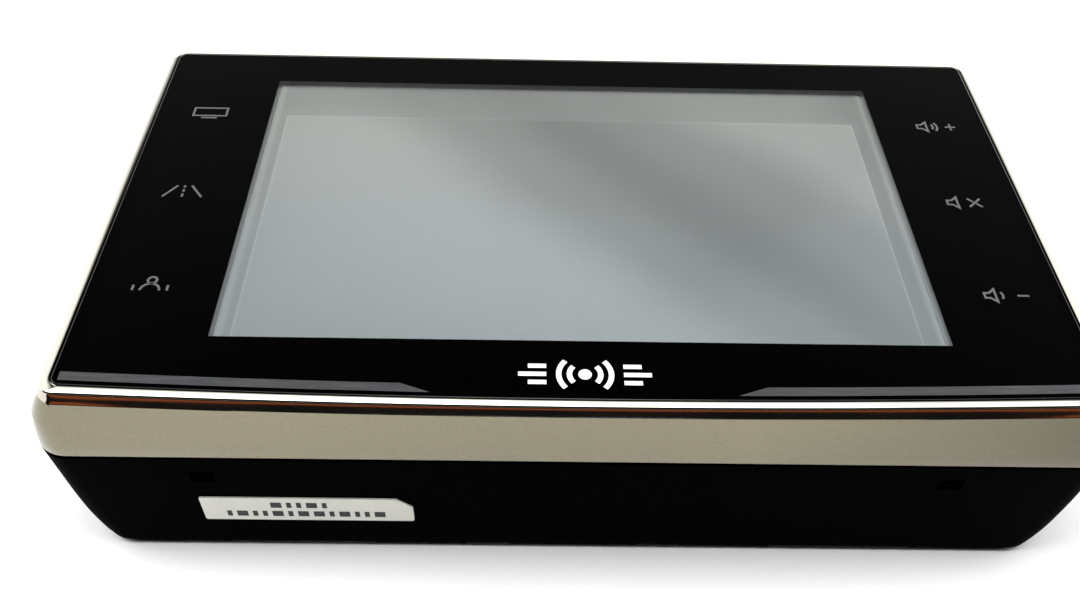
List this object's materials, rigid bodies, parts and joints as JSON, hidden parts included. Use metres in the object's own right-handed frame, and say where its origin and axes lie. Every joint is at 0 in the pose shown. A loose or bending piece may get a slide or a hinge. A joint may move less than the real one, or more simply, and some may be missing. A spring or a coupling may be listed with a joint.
{
  "type": "radar detector",
  "caption": "Dash-top radar detector: black cover lens with a clear window over a wide display, chrome bezel, touch keys, and a tapered black rear case with feet.",
  "frame": {"origin": "centre of the bounding box in plan, on the plane of the rear pads that the unit lies on", "axes": "+X to the unit's right as its driver sees the screen, +Y to the unit's top edge, +Z out of the screen"},
  "size_m": [0.1054, 0.0578, 0.026],
  "materials": {
    "clear_glass": "clear acrylic cover, polished",
    "black_ink": "black ink film seen through the cover",
    "tape": "black adhesive tape",
    "chrome": "mirror chrome plate",
    "black_plastic": "moulded, fine texture",
    "case_plastic": "moulded, fine spark-eroded texture",
    "lcd_glass": "unlit grey display with a satin polariser",
    "white_plastic": "moulded nylon",
    "steel": "rolled sheet",
    "cast_zinc": "die cast",
    "flex": "polyimide ribbon",
    "green_board": "solder mask over glass laminate",
    "chip": "moulded epoxy",
    "ceramic": "fired ceramic",
    "foam": "closed-cell foam",
    "paper": "pressed paper cone",
    "ferrite": "sintered ferrite",
    "smoked_red": "smoked infrared-clear plastic",
    "red_wire": "wire jacket",
    "black_wire": "wire jacket",
    "label_foil": "silver foil label, satin",
    "card_plastic": "moulded card body",
    "knob_plastic": "moulded, ridged",
    "screw_steel": "black-plated steel"
  },
  "bodies": {
    "housing": {"backup_battery": "steel", "board_screw_1": "screw_steel", "board_screw_2": "screw_steel", "board_screw_3": "screw_steel", "board_screw_4": "screw_steel", "card_socket": "steel", "case_screw_1": "screw_steel", "case_screw_2": "screw_steel", "case_screw_3": "screw_steel", "case_screw_4": "screw_steel", "chrome_bezel": "chrome", "cover_lens": "clear_glass", "dc_jack": "black_plastic", "flex_connector": "white_plastic", "front_frame": "black_plastic", "gps_board": "green_board", "gps_patch": "ceramic", "laser_board": "green_board", "laser_holder": "black_plastic", "laser_lens": "smoked_red", "laser_photodiode": "chip", "laser_window": "smoked_red", "lcd_back_plate": "steel", "lcd_backlight": "white_plastic", "lcd_flex": "flex", "lcd_panel": "lcd_glass", "lens_tape": "tape", "main_board": "green_board", "mask_film": "black_ink", "memory_chip": "chip", "option_port": "white_plastic", "power_switch_body": "black_plastic", "processor": "chip", "radar_board": "green_board", "radar_horn": "cast_zinc", "rear_case": "case_plastic", "serial_label": "label_foil", "shield_can": "steel", "speaker_basket": "steel", "speaker_gasket": "foam", "speaker_lead_black": "black_wire", "speaker_lead_red": "red_wire", "speaker_magnet": "ferrite", "touch_key_board_left": "green_board", "touch_key_board_right": "green_board"},
    "card": {"microsd_card": "card_plastic"},
    "switch_knob": {"power_switch_knob": "knob_plastic"},
    "cone": {"speaker_cone": "paper"}
  },
  "joints": [
    {"name": "card_slide", "type": "slide", "parent": "housing", "child": "card", "axis": [-1, 0, 0], "range_m": [-0.0006, 0.0155]},
    {"name": "power_switch_slide", "type": "slide", "parent": "housing", "child": "switch_knob", "axis": [0, 1, 0], "range_m": [0, 0.0025]},
    {"name": "speaker_cone_travel", "type": "slide", "parent": "housing", "child": "cone", "axis": [0, 0, 1], "range_m": [-0.0004, 0.0004], "stiffness_N_per_m": 200}
  ]
}
